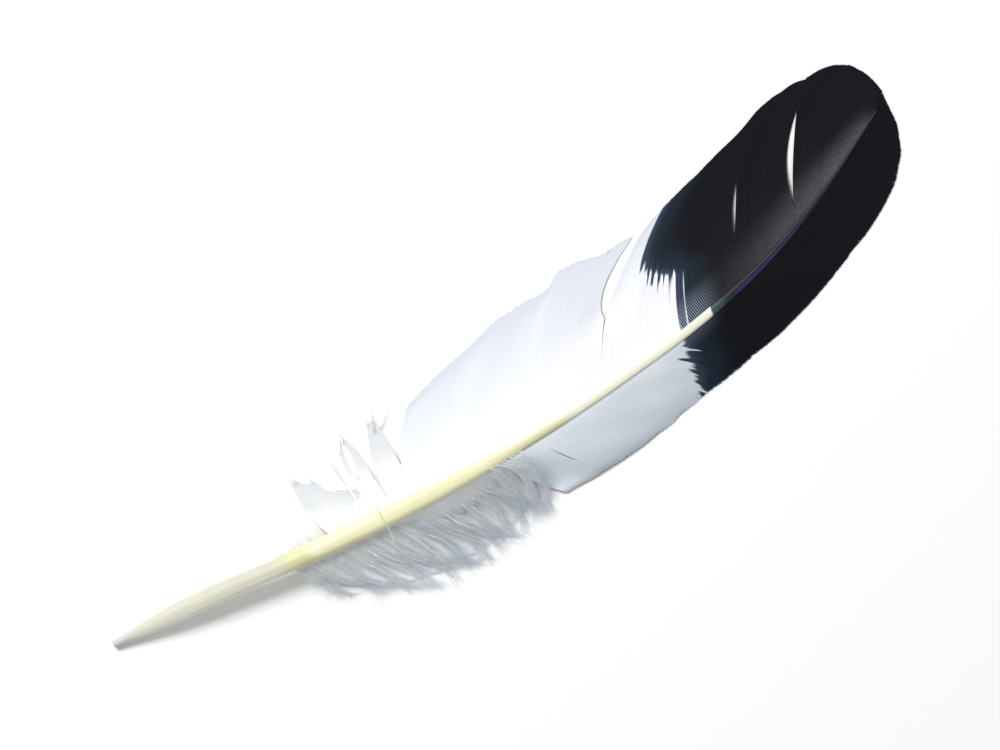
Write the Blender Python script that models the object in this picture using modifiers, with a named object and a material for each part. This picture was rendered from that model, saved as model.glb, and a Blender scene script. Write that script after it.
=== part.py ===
"""A white turkey feather with a dyed black tip, lying upper side up on a flat surface.

One tapered shaft carries webs of barbs on both sides. The webs part where the
feather itself has come unzipped, so each is a solid of its own with a thin gap
to the next. Plan dimensions are in millimetres: x runs along the chord from the
quill's cut end, y towards the broad vane and z up from the surface it lies on.
"""
import math

import bmesh
import bpy
import numpy as np

MM = 0.001

# Driving dimensions, in millimetres.
SHAFT_LENGTH = 274.0          # along the chord, to where the shaft runs out in the tip
WEB_THICKNESS = 0.7
DOWN_THICKNESS = 2.4
SHAFT_CLEARANCE = 0.85        # plan distance from the shaft's side to the root of a web
DOWN_CLEARANCE = 1.5
PARTING_HALF_GAP = 0.22       # what a closed parting keeps on either side of its line
PARTING_REACH = 9.0           # how far along the shaft an open parting bends the barbs

# The shaft: station along the chord, then sideways bow, height and diameter there.
BOW_STATIONS = (0.0, 25.0, 60.0, 95.0, 130.0, 165.0, 200.0, 225.0, 245.0, 274.0)
BOW = (0.0, -3.9, -11.0, -17.0, -21.2, -22.8, -21.9, -18.3, -13.0, -2.0)
ARCH_STATIONS = (0.0, 30.0, 70.0, 110.0, 150.0, 190.0, 230.0, 274.0)
ARCH = (1.25, 5.3, 8.0, 9.3, 9.5, 8.5, 5.9, 2.0)
GIRTH_STATIONS = (0.0, 11.0, 20.0, 30.0, 50.0, 76.0, 97.0, 124.0, 159.0, 205.0, 235.0, 274.0)
GIRTH = (2.4, 4.0, 5.4, 5.8, 5.4, 6.0, 5.5, 4.0, 3.1, 2.6, 1.9, 0.6)

# Each web: the stretch of shaft that it grows from, its outer edge, the angle at
# which its first and last barbs leave the chord, and how its barbs come down.
BROAD_LOWER = {
    "roots": (97.6, 161.5), "side": 1, "angles": (92.0, 65.0), "droop": 1.6, "lies_from": 0.78,
    "edge": ((112.0, 7.8), (122.0, 9.6), (136.0, 11.1), (151.0, 13.1), (164.0, 12.2), (172.0, 13.8),
             (184.0, 11.0), (195.2, 9.6)),
}
BROAD_MIDDLE = {
    "roots": (161.5, 235.5), "side": 1, "angles": (65.0, 60.0), "droop": 1.6, "lies_from": 0.78,
    "edge": ((195.9, 8.3), (203.5, 10.8), (220.0, 13.6), (238.0, 16.4), (250.0, 19.0),
             (264.6, 17.6)),
}
BROAD_TIP = {
    "roots": (235.5, 273.4), "side": 1, "angles": (60.0, 36.0), "droop": 1.4, "lies_from": 0.78,
    "edge": ((264.8, 18.2), (269.7, 17.5), (274.8, 14.6), (277.6, 10.4), (278.9, 5.6),
             (279.2, 2.2)),
}
NARROW = {
    "roots": (123.5, 273.4), "side": -1, "angles": (-68.0, 24.0), "droop": 1.15, "lies_from": 0.84,
    "edge": ((135.0, -41.2), (146.0, -42.4), (160.0, -43.1), (183.0, -41.5), (201.5, -40.3),
             (223.3, -37.6), (243.5, -32.1), (260.4, -26.1), (270.8, -19.0), (276.2, -11.0),
             (279.0, 1.2)),
}
LOBE = {
    "roots": (70.6, 80.4), "side": 1, "angles": (114.0, 85.0), "droop": 0.9, "lies_from": 1.6,
    "edge": ((69.8, 9.6), (74.9, 4.4), (81.4, -0.8)),
}
TUFTS = (
    {"roots": (90.0, 96.2), "side": 1, "angles": (88.0, 86.0), "droop": 0.9, "lies_from": 1.9,
     "edge": ((101.2, 11.0), (102.0, 10.3), (102.8, 9.6))},
    {"roots": (83.7, 89.2), "side": 1, "angles": (92.0, 96.0), "droop": 0.9, "lies_from": 1.9,
     "edge": ((89.0, 11.4), (89.6, 11.2), (90.2, 10.8))},
    {"roots": (81.3, 82.6), "side": 1, "angles": (86.0, 86.0), "droop": 0.9, "lies_from": 1.9,
     "edge": ((82.2, 8.6), (82.6, 8.5), (83.0, 8.4))},
)
DOWN_NARROW = {
    "roots": (58.0, 121.5), "side": -1, "angles": (-78.0, -66.0), "droop": 1.1, "lies_from": 0.8,
    "edge": ((66.0, -27.0), (78.0, -38.5), (92.0, -42.5), (112.0, -42.8), (131.6, -40.2)),
}
DOWN_BROAD = {
    "roots": (56.0, 69.0), "side": 1, "angles": (80.0, 88.0), "droop": 1.1, "lies_from": 1.3,
    "edge": ((53.5, -1.5), (60.0, 1.5), (66.6, 2.0)),
}

# Open partings between webs: the root that they follow, where along the barb
# they start to open, and their width there.
WEDGE = {"root": 161.5, "opens_at": 0.3, "width": 3.0}
TIP_SLIT = {"root": 235.5, "opens_at": 0.12, "width": 1.7}

WHITE = (0.86, 0.87, 0.88, 1.0)
HORN = (0.87, 0.83, 0.62, 1.0)
DYED = (0.012, 0.012, 0.016, 1.0)
DOWN_GREY = (0.74, 0.77, 0.80, 1.0)


def remove_everything():
    for old in list(bpy.data.objects):
        bpy.data.objects.remove(old)


def smooth(at, stations, values):
    """Cubic curve through the values, with slopes taken from their neighbours."""
    stations = np.asarray(stations, float)
    values = np.asarray(values, float)
    slopes = np.gradient(values, stations)
    at = np.clip(at, stations[0], stations[-1])
    left = np.clip(np.searchsorted(stations, at, side="right") - 1, 0, len(stations) - 2)
    span = stations[left + 1] - stations[left]
    f = (at - stations[left]) / span
    ease = f * f * (3 - 2 * f)
    return (values[left] * (1 - ease) + values[left + 1] * ease
            + span * f * (1 - f) * ((1 - f) * slopes[left] - f * slopes[left + 1]))


def shaft_point(station):
    return np.array((station, smooth(station, BOW_STATIONS, BOW),
                     smooth(station, ARCH_STATIONS, ARCH)))


def shaft_radius(station):
    return smooth(station, GIRTH_STATIONS, GIRTH) / 2


def across_shaft(station):
    """Unit vector square to the shaft in plan, pointing to the broad vane."""
    ahead = shaft_point(min(station + 1.0, SHAFT_LENGTH))
    behind = shaft_point(max(station - 1.0, 0.0))
    along = (ahead - behind)[:2]
    along /= np.linalg.norm(along)
    return np.array((-along[1], along[0]))


def edge_point(edge, fraction):
    """Point at a fraction of the outer edge's length."""
    points = np.array(edge)
    run = np.concatenate(([0.0], np.cumsum(np.linalg.norm(np.diff(points, axis=0), axis=1))))
    at = fraction * run[-1]
    return np.array((smooth(at, run, points[:, 0]), smooth(at, run, points[:, 1])))


def parting_shift(parting, station, reach, towards):
    """Sideways move of a barb beside a parting, dying away with distance from it."""
    nearness = math.exp(-abs(station - parting["root"]) / PARTING_REACH)
    opened = max(0.0, (reach - parting["opens_at"]) / (1 - parting["opens_at"]))
    lens = math.sin(math.pi * min(1.0, opened) ** 1.2)
    return towards * (PARTING_HALF_GAP + parting["width"] * lens) * nearness


def barb_point(web, along, reach, clearance, thickness, partings):
    """A barb is a quadratic curve from the shaft's side to the web's outer edge."""
    first, last = web["roots"]
    station = first + (last - first) * along
    centre = shaft_point(station)
    root = centre[:2] + across_shaft(station) * web["side"] * (shaft_radius(station) + clearance)
    tip = edge_point(web["edge"], along)
    angle = math.radians(web["angles"][0] + (web["angles"][1] - web["angles"][0]) * along)
    bend = root + 0.5 * np.linalg.norm(tip - root) * np.array((math.cos(angle), math.sin(angle)))
    plan = root * (1 - reach) ** 2 + bend * 2 * reach * (1 - reach) + tip * reach ** 2
    for parting, towards in partings:
        plan[0] += parting_shift(parting, station, reach, towards)
    down_slope = max(0.0, 1 - reach / web["lies_from"]) ** web["droop"]
    root_height = centre[2] + 0.2 * shaft_radius(station)
    height = thickness + max(0.0, root_height - thickness) * down_slope
    return plan[0], plan[1], height


def material(name, colour, roughness):
    made = bpy.data.materials.new(name)
    made.use_nodes = True
    shader = made.node_tree.nodes["Principled BSDF"]
    shader.inputs["Base Color"].default_value = colour
    shader.inputs["Roughness"].default_value = roughness
    return made


def add_web(name, web, rows, columns, finish, partings=(), clearance=SHAFT_CLEARANCE,
            thickness=WEB_THICKNESS):
    """A web is a sheet laid along its barbs, thickened downwards."""
    sheet = bmesh.new()
    bmesh.ops.create_grid(sheet, x_segments=rows, y_segments=columns, size=1.0)
    for vertex in sheet.verts:
        along = (vertex.co.x + 1) / 2
        reach = (vertex.co.y + 1) / 2
        place = barb_point(web, along, reach, clearance, thickness, partings)
        vertex.co = [MM * value for value in place]
    if web["side"] < 0:
        bmesh.ops.reverse_faces(sheet, faces=sheet.faces)
    mesh = bpy.data.meshes.new(name)
    sheet.to_mesh(mesh)
    sheet.free()
    mesh.materials.append(finish)
    piece = bpy.data.objects.new(name, mesh)
    feather.objects.link(piece)
    thicken = piece.modifiers.new("Thickness", "SOLIDIFY")
    thicken.thickness = thickness * MM
    thicken.offset = -1
    return piece


def add_shaft(finish, points=56):
    """Quill and rachis are one tapered tube on the bowed and arched centre line."""
    line = bpy.data.curves.new("shaft", "CURVE")
    line.dimensions = "3D"
    line.bevel_depth = MM
    line.bevel_resolution = 4
    line.use_fill_caps = True
    line.materials.append(finish)
    path = line.splines.new("POLY")
    path.points.add(points - 1)
    for number, point in enumerate(path.points):
        station = SHAFT_LENGTH * number / (points - 1)
        x, y, z = shaft_point(station)
        point.co = (x * MM, y * MM, z * MM, 1)
        point.radius = shaft_radius(station)
    piece = bpy.data.objects.new("shaft", line)
    feather.objects.link(piece)


def centre_over_origin():
    """The origin goes to the middle of the whole feather's footprint, on the surface."""
    graph = bpy.context.evaluated_depsgraph_get()
    corners = []
    for piece in feather.objects:
        evaluated = piece.evaluated_get(graph)
        surface = evaluated.to_mesh()
        places = np.empty(3 * len(surface.vertices), np.float32)
        surface.vertices.foreach_get("co", places)
        places = places.reshape(-1, 3)
        corners += [places.min(axis=0), places.max(axis=0)]
        evaluated.to_mesh_clear()
    low = np.min(corners, axis=0)
    high = np.max(corners, axis=0)
    for piece in feather.objects:
        piece.location = (-(low[0] + high[0]) / 2, -(low[1] + high[1]) / 2, -low[2])


remove_everything()
feather = bpy.data.collections.new("turkey_feather")
bpy.context.scene.collection.children.link(feather)

white_web = material("white web", WHITE, 0.6)
dyed_web = material("dyed web", DYED, 0.5)
down_fluff = material("down", DOWN_GREY, 0.9)

add_shaft(material("horn", HORN, 0.35))
add_web("broad_vane_lower", BROAD_LOWER, 22, 10, white_web, ((WEDGE, -1),))
add_web("broad_vane_middle", BROAD_MIDDLE, 24, 10, dyed_web, ((WEDGE, 0.25), (TIP_SLIT, -1)))
add_web("broad_vane_tip", BROAD_TIP, 14, 10, dyed_web, ((TIP_SLIT, 1),))
add_web("narrow_vane", NARROW, 44, 8, dyed_web)
add_web("basal_lobe", LOBE, 8, 8, white_web)
for number, tuft in enumerate(TUFTS, start=1):
    add_web(f"barb_tuft_{number}", tuft, 4, 10, white_web)
add_web("down_narrow_side", DOWN_NARROW, 20, 8, down_fluff,
        clearance=DOWN_CLEARANCE, thickness=DOWN_THICKNESS)
add_web("down_broad_side", DOWN_BROAD, 6, 5, down_fluff,
        clearance=DOWN_CLEARANCE, thickness=DOWN_THICKNESS / 2)
centre_over_origin()
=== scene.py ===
"""The finish of a white turkey feather with a dyed black tip, laid upper side up.

The feather is built as it grew: the shaft first, then the barbs of each web, then
the loose tufts, the down and the stray fibres, and last the table and light
that it is seen in. Plan sizes are in millimetres along the feather's own chord.
"""
import math

import bpy
import numpy as np
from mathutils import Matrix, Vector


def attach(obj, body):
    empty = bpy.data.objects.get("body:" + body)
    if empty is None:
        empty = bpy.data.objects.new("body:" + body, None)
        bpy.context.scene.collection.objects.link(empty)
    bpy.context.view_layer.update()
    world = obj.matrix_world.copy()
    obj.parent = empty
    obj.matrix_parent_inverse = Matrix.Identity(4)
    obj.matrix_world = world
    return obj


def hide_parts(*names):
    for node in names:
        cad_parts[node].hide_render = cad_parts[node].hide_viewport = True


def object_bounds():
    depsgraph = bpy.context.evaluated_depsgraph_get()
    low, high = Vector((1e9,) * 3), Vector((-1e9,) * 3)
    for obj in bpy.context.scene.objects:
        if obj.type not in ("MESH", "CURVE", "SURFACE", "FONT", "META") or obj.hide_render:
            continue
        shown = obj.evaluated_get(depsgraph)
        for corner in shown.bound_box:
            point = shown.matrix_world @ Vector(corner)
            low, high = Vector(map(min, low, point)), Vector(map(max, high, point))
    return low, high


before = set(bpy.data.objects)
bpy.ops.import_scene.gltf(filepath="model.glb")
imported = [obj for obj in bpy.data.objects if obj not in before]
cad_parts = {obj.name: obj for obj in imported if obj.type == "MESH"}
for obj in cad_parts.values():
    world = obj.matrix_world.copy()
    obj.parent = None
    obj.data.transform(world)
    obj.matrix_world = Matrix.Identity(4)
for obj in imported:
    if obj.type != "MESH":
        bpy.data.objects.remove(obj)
cad_low, cad_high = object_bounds()


# ---------------------------------------------------------------------------
# The shaft. A hollow horn quill, cut off blunt, runs on as a cream rachis that is
# squarer on top and grooved beneath. It grew in one piece, bows sideways and
# arches up off the table, and its outer third took up the black dye.
# ---------------------------------------------------------------------------
MM = 0.001
SHAFT_LENGTH = 274.0
BOW_STATIONS = (0.0, 25.0, 60.0, 95.0, 130.0, 165.0, 200.0, 225.0, 245.0, 274.0)
BOW = (0.0, -3.9, -11.0, -17.0, -21.2, -22.8, -21.9, -18.3, -13.0, -2.0)
ARCH_STATIONS = (0.0, 30.0, 70.0, 110.0, 150.0, 190.0, 230.0, 274.0)
ARCH = (1.25, 5.3, 8.0, 9.3, 9.5, 8.5, 5.9, 2.0)
GIRTH_STATIONS = (0.0, 3.0, 11.0, 20.0, 30.0, 50.0, 76.0, 97.0, 124.0, 159.0, 205.0, 235.0, 274.0)
GIRTH = (2.3, 2.6, 4.0, 5.4, 5.8, 5.4, 6.0, 5.5, 4.0, 3.1, 2.6, 1.9, 0.5)

# The quill's cut end in plan, from the CAD box: its rim leans a little past its
# centre, and the broad vane bulges beyond the chord.
RIM_LEAN = 0.23
BROAD_BULGE = 19.03
PLAN_ORIGIN = np.array((cad_low[0] + RIM_LEAN * MM, cad_high[1] - BROAD_BULGE * MM, 0.0))

# The shaft's surface: how it is divided, how square it gets (2 is round), the groove under the
# rachis (depth as a share of the radius, half width in radians), its height over its width, and
# the hollow in its cut end (depth in steps of three rings, share of the radius).
SHAFT_RINGS = 560
SHAFT_SIDES = 48
QUILL_SQUARENESS = 2.0
RACHIS_SQUARENESS = 2.7
GROOVE_DEPTH = 0.3
GROOVE_HALF_WIDTH = 0.35
FLATTENED = 0.97
CUT_END_HOLLOW = ((0.05, 0.72), (0.5, 0.62), (1.1, 0.5), (1.4, 0.2))

# Stretches of the shaft over which one colour gives way to the next, in stations.
CUT_END_GREYS = (14.0, 1.0)
QUILL_YELLOWS = (53.0, 63.0)
QUILL_TO_RACHIS = (64.0, 67.0)
RACHIS_PALES = (112.0, 150.0)
# Where the painted warmer and khaki shade on the rachis's flank away from the lamp fades in and out.
WARM_SHADE_UNTIL = (150.0, 120.0)
OLIVE_SHADE_FROM = (118.0, 125.0)
OLIVE_SHADE_UNTIL = (152.0, 143.0)
CREAM_TO_DYED = (199.9, 200.6)
TEAL_TO_BLACK = (202.0, 207.5)
# Where the painted purple-blue highlight on the dyed shaft's flank fades in and out.
VIOLET_HIGHLIGHT_FROM = (204.0, 212.0)
VIOLET_HIGHLIGHT_UNTIL = (246.0, 228.0)
TIP_BLACKENS = (244.0, 262.0)


def smooth(at, stations, values):
    """Cubic curve through the values, with slopes taken from their neighbours."""
    stations = np.asarray(stations, float)
    values = np.asarray(values, float)
    slopes = np.gradient(values, stations)
    at = np.clip(at, stations[0], stations[-1])
    left = np.clip(np.searchsorted(stations, at, side="right") - 1, 0, len(stations) - 2)
    span = stations[left + 1] - stations[left]
    f = (at - stations[left]) / span
    ease = f * f * (3 - 2 * f)
    return (values[left] * (1 - ease) + values[left + 1] * ease
            + span * f * (1 - f) * ((1 - f) * slopes[left] - f * slopes[left + 1]))


def shaft_line(station):
    """Centre line: along the chord, sideways by the bow and up by the arch."""
    return np.stack((station, smooth(station, BOW_STATIONS, BOW),
                     smooth(station, ARCH_STATIONS, ARCH)), axis=-1)


def shaft_frame(station):
    """Unit vectors along the shaft, level across it to the broad side, and up out of it."""
    along = shaft_line(station + 0.5) - shaft_line(station - 0.5)
    along = along / np.linalg.norm(along, axis=-1, keepdims=True)
    across = np.stack((-along[..., 1], along[..., 0], 0 * station), axis=-1)
    across = across / np.linalg.norm(across, axis=-1, keepdims=True)
    return along, across, np.cross(along, across)


def grid_faces(rows, columns, wrap=False):
    """Quads between neighbouring rows and columns, the columns closed round if wrapped."""
    row = np.arange(rows - 1)[:, None]
    column = np.arange(columns if wrap else columns - 1)[None, :]
    beside = (column + 1) % columns
    corners = (row * columns + column, row * columns + beside,
               (row + 1) * columns + beside, (row + 1) * columns + column)
    return np.stack(corners, axis=-1).reshape(-1, 4)


RIM_ANGLE = math.radians(50)  # edges sharper than this, such as a sheet's rim, stay crisp


def add_mesh(name, points, faces, values, flat_map, rounded=True):
    """A piece from whole arrays: places in mm, quads and triangles, values per point
    for its material, and a flat map of the points for its texture."""
    mesh = bpy.data.meshes.new(name)
    mesh.vertices.add(len(points))
    places = np.asarray(points, float) * MM + PLAN_ORIGIN
    mesh.vertices.foreach_set("co", places.astype(np.float32).ravel())
    corners = np.concatenate([group.ravel() for group in faces])
    sides = np.concatenate([np.full(len(group), group.shape[1]) for group in faces])
    mesh.loops.add(len(corners))
    mesh.loops.foreach_set("vertex_index", corners.astype(np.int32))
    mesh.polygons.add(len(sides))
    starts = np.concatenate(([0], np.cumsum(sides)[:-1]))
    mesh.polygons.foreach_set("loop_start", starts.astype(np.int32))
    mesh.update(calc_edges=True)
    for key, value in values.items():
        layer = mesh.attributes.new(key, "FLOAT", "POINT")
        layer.data.foreach_set("value", np.asarray(value, np.float32).ravel())
    chart = mesh.uv_layers.new(name="OFBake")
    chart.data.foreach_set("uv", np.asarray(flat_map, np.float32)[corners].ravel())
    if rounded:
        mesh.shade_smooth()
        mesh.set_sharp_from_angle(angle=RIM_ANGLE)
    piece = bpy.data.objects.new(name, mesh)
    bpy.context.collection.objects.link(piece)
    return piece


class Wire:
    """An output in a material's node tree. Arithmetic on it adds the Math nodes."""

    def __init__(self, tree, socket=None):
        self.tree = tree
        self.socket = socket

    def node(self, kind, inputs=None, output=0, stops=None, **settings):
        """Adds a node: its settings and a ramp's stops first, then its sockets' values or links."""
        made = self.tree.nodes.new(kind)
        for key, value in settings.items():
            setattr(made, key, value)
        for number, (place, colour) in enumerate(stops or ()):
            ramp = made.color_ramp.elements
            stop = ramp[number] if number < 2 else ramp.new(place)
            stop.position = place
            stop.color = (*colour, 1.0)
        for key, value in (inputs or {}).items():
            if isinstance(value, Wire):
                self.tree.links.new(value.socket, made.inputs[key])
            else:
                made.inputs[key].default_value = value
        return Wire(self.tree, made.outputs[output])

    def math(self, operation, first, second):
        """Math on wires and plain numbers."""
        return self.node("ShaderNodeMath", {0: first, 1: second}, operation=operation)

    def __add__(self, other):
        return self.math("ADD", self, other)

    def __sub__(self, other):
        return self.math("SUBTRACT", self, other)

    def __mul__(self, other):
        return self.math("MULTIPLY", self, other)

    def __rsub__(self, other):
        return self.math("SUBTRACT", other, self)

    __radd__ = __add__
    __rmul__ = __mul__

    def sine(self):
        return self.math("SINE", self, 0.0)

    def band(self, low, high):
        """0 below low, 1 above high, eased between."""
        return self.node("ShaderNodeMapRange", {"Value": self, "From Min": low, "From Max": high},
                         interpolation_type="SMOOTHSTEP")

    def value(self, name):
        """A value that the piece's mesh carries for each point."""
        return self.node("ShaderNodeAttribute", output="Fac", attribute_name=name)

    def mix(self, first, second):
        """A colour between two, by this wire."""
        return self.node("ShaderNodeMix", {0: self, 6: first, 7: second}, 2, data_type="RGBA")

    def noise(self, scale, detail=3.0, stretch=(1.0, 1.0, 1.0)):
        """Noise in the object's own space, drawn out along an axis by a small stretch."""
        place = self.node("ShaderNodeTexCoord", output="Object")
        place = self.node("ShaderNodeMapping", {"Vector": place, "Scale": stretch})
        return self.node("ShaderNodeTexNoise", {"Vector": place, "Scale": scale, "Detail": detail})


def tint(red, green, blue):
    """A surface colour, made linear from the 0-255 levels of a colour card."""
    levels = np.array((red, green, blue)) / 255
    linear = np.where(levels < 0.04045, levels / 12.92, ((levels + 0.055) / 1.055) ** 2.4)
    return (*linear, 1.0)


def finish(name, **steady):
    """A material, its shader with its steady values on its own sockets, and a wire to start from."""
    made = bpy.data.materials.new(name)
    made.use_nodes = True
    shader = made.node_tree.nodes["Principled BSDF"]
    for key, value in steady.items():
        shader.inputs[key.replace("_", " ")].default_value = value
    return made, shader, Wire(made.node_tree)


def join(shader, wire, socket):
    """Feeds a wire to one of the shader's sockets."""
    wire.tree.links.new(wire.socket, shader.inputs[socket])


def horn_finish():
    """Greyish quill, paler on the flank away from the lamp as painted light, yellower where it ends; cream
    rachis with a painted highlight on its lit flank and painted warmer and khaki shade on the other, that
    pales towards the tip; then the dyed stretch with a painted purple-blue highlight on the narrow web's
    side."""
    made, shader, wire = finish("horn", Specular_IOR_Level=0.4)
    station = wire.value("station")
    side = wire.value("side")
    top = wire.value("top")
    shade_side = side * -1.0
    grain = wire.noise(90.0, 4.0, (0.12, 1.0, 1.0))
    fleck = wire.noise(420.0, 2.0, (0.3, 1.0, 1.0))

    quill = grain.band(0.3, 0.7).mix(tint(206, 205, 186), tint(217, 216, 198))
    # Painted light: the quill's flank away from the lamp is painted paler, lifting its shade.
    quill = (shade_side.band(-0.2, 0.9) * 0.8).mix(quill, tint(248, 249, 232))
    quill = station.band(*CUT_END_GREYS).mix(quill, tint(205, 205, 198))
    quill = (station + fleck * 6.0).band(*QUILL_YELLOWS).mix(quill, tint(222, 221, 172))

    cream = grain.band(0.35, 0.7).mix(tint(240, 236, 192), tint(247, 244, 208))
    cream = station.band(*RACHIS_PALES).mix(cream, tint(238, 238, 218))
    # Painted shade: the rachis's flank away from the lamp, and its underside, turns warmer in grainy
    # patches, most towards the quill.
    warm_shade = (shade_side - top * 0.4).band(-0.1, 0.9) * grain.band(0.25, 0.6)
    warm_shade = warm_shade * (station.band(*WARM_SHADE_UNTIL) * 0.6 + 0.3)
    cream = (warm_shade * 0.85).mix(cream, tint(222, 211, 154))
    # Painted highlight: the flank facing the lamp is painted whiter in grainy streaks.
    lit_flank = side.band(0.3, 1.0) * grain.band(0.3, 0.7)
    cream = (lit_flank * 0.5).mix(cream, tint(250, 248, 226))
    # Painted shade: khaki patches on the flank away from the lamp between stations 118 and 152.
    olive_shade = station.band(*OLIVE_SHADE_FROM) * station.band(*OLIVE_SHADE_UNTIL) * shade_side.band(-0.5, 0.4)
    cream = (olive_shade * grain.band(0.25, 0.55) * 0.8).mix(cream, tint(200, 197, 138))

    dyed = (station + side * 0.9 + fleck * 0.6).band(*TEAL_TO_BLACK).mix(tint(46, 76, 80), tint(20, 20, 30))
    # Painted highlight: a purple-blue streak along the dyed shaft's flank on the narrow web's side.
    violet_highlight = shade_side.band(0.0, 0.6) * station.band(*VIOLET_HIGHLIGHT_FROM) * station.band(*VIOLET_HIGHLIGHT_UNTIL)
    dyed = violet_highlight.mix(dyed, tint(52, 48, 108))
    dyed = station.band(*TIP_BLACKENS).mix(dyed, tint(24, 24, 28))

    undyed = (station + side * 1.2 + fleck * 5.0).band(*QUILL_TO_RACHIS).mix(quill, cream)
    soaked = (station - side * 0.6 + fleck * 0.5).band(*CREAM_TO_DYED)
    join(shader, soaked.mix(undyed, dyed), "Base Color")
    join(shader, grain * 0.2 + 0.42, "Roughness")
    ridges = wire.noise(700.0, 2.0, (0.04, 1.0, 1.0))
    bump = wire.node("ShaderNodeBump", {"Height": ridges, "Strength": 0.12, "Distance": 0.0002})
    join(shader, bump, "Normal")
    return made


def add_shaft():
    """Rings of a rounded square carried along the centre line: each ring point is
    radius * (|cos|, |sin|) to the power 2 / squareness, less a groove under the rachis.
    The cut end turns in over its rim to a shallow blind hollow."""
    station = np.linspace(0.0, SHAFT_LENGTH, SHAFT_RINGS)[:, None]
    turn = np.linspace(-0.5 * math.pi, 1.5 * math.pi, SHAFT_SIDES, endpoint=False)[None, :]
    radius = smooth(station, GIRTH_STATIONS, GIRTH) / 2
    squareness = QUILL_SQUARENESS + (RACHIS_SQUARENESS - QUILL_SQUARENESS) * np.clip(
        (station - 60.0) / 40.0, 0, 1)
    side = np.sign(np.cos(turn)) * np.abs(np.cos(turn)) ** (2 / squareness)
    top = np.sign(np.sin(turn)) * np.abs(np.sin(turn)) ** (2 / squareness)
    from_below = np.minimum(turn + 0.5 * math.pi, 1.5 * math.pi - turn)
    groove = GROOVE_DEPTH * np.clip((station - 90.0) / 30.0, 0, 1) * np.exp(
        -(from_below / GROOVE_HALF_WIDTH) ** 2)
    ripple = 1 + 0.006 * np.sin(11 * turn + station / 17) + 0.008 * np.sin(station / 3.1 + 2 * turn)
    rim = 1 - 0.12 * np.exp(-station / 0.35)
    reach = radius * ripple * rim * (1 - groove)
    _, across, up = shaft_frame(station[:, 0])
    centre = shaft_line(station[:, 0])
    tube = (centre[:, None] + across[:, None] * (reach * side)[..., None]
            + up[:, None] * (reach * top * FLATTENED)[..., None])
    hollow = [centre[0] + (tube[0] - centre[0]) * share + (centre[3] - centre[0]) * depth
              for depth, share in reversed(CUT_END_HOLLOW)]
    rings = np.concatenate((np.stack(hollow), tube))
    count = len(rings)
    around = np.arange(SHAFT_SIDES)[None, :]
    ends = (around[:, ::-1], (count - 1) * SHAFT_SIDES + around)
    full = np.concatenate((np.zeros((len(hollow), 1)), station))
    values = {"station": np.broadcast_to(full, (count, SHAFT_SIDES)),
              "side": np.broadcast_to(np.cos(turn), (count, SHAFT_SIDES)),
              "top": np.broadcast_to(np.sin(turn), (count, SHAFT_SIDES))}
    chart = np.stack(np.broadcast_arrays(np.linspace(0, 1, count)[:, None],
                                         np.abs(np.linspace(-1, 1, SHAFT_SIDES))[None, :]), axis=-1)
    return add_mesh("quill_and_rachis", rings.reshape(-1, 3),
                    [grid_faces(count, SHAFT_SIDES, wrap=True), *ends], values, chart.reshape(-1, 2))


shaft = add_shaft()
shaft.data.materials.append(horn_finish())
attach(shaft, "root")
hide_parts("shaft")


# ---------------------------------------------------------------------------
# The webs. Barbs leave both sides of the rachis about half a millimetre apart,
# sweep towards the tip and hook into one another, so each web is one corrugated
# sheet. Where the hooks have let go the sheet parts along a barb.
# ---------------------------------------------------------------------------
ROWS_PER_BARB = 4
BARB_SPACING = 0.56
WEB_COLUMNS = 34
WEB_THICKNESS = 0.2
WEB_TEETH = (0.55, 0.35)      # how far the valleys end short of the crests, and how unevenly
CREST_HEIGHT = 0.035
LYING_HEIGHT = 0.28           # of a web's upper side where it rests on the table
LEAST_HEIGHT = 0.12           # and anywhere at all
LEAST_UNDERSIDE = 0.02
ROOT_OUT = 0.7                # shares of the shaft's radius: barbs are rooted this far out
ROOT_UP = 0.42                # and this far up
PARTING_LAP = 0.12            # how far the barbs at a parting's root overlap
PARTING_STEP = 0.06           # and how far the one past it slides under
PARTING_SINKS = 0.88          # share of its height that a web loses beside the wedge
PARTING_SPAN = 9.0            # along the shaft, over which barbs make room for an opening
NICK_CHANCE = 0.03            # of a barb that has lost its end
LONG_RUN_CHANCE = 0.12        # of a barb that drew the dye further


def parting(root, opens, closes, width, shares=(1.0, 1.0), sinks_over=0.0, grows=1.2):
    """An opening along a barb: the root's station, the parts of the barb's length where it opens
    and closes, how far each side is pushed, the share of that on the quill's side and on the
    tip's, the span beside it that sinks to the table, and a power that sets where it is widest."""
    return {"root": root, "opens": opens, "closes": closes, "width": width, "shares": shares,
            "sinks over": sinks_over, "grows": grows}


def broad_fall(reach):
    """The broad web drops in a hollow curve and is down at nine tenths of its width."""
    return np.clip(1 - reach / 0.9, 0, 1) ** 1.6


def narrow_fall(reach):
    """The narrow web drops in a rounded curve, down just short of its rim."""
    return 1 - np.clip(reach / 0.97, 0, 1) ** 1.4


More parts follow.
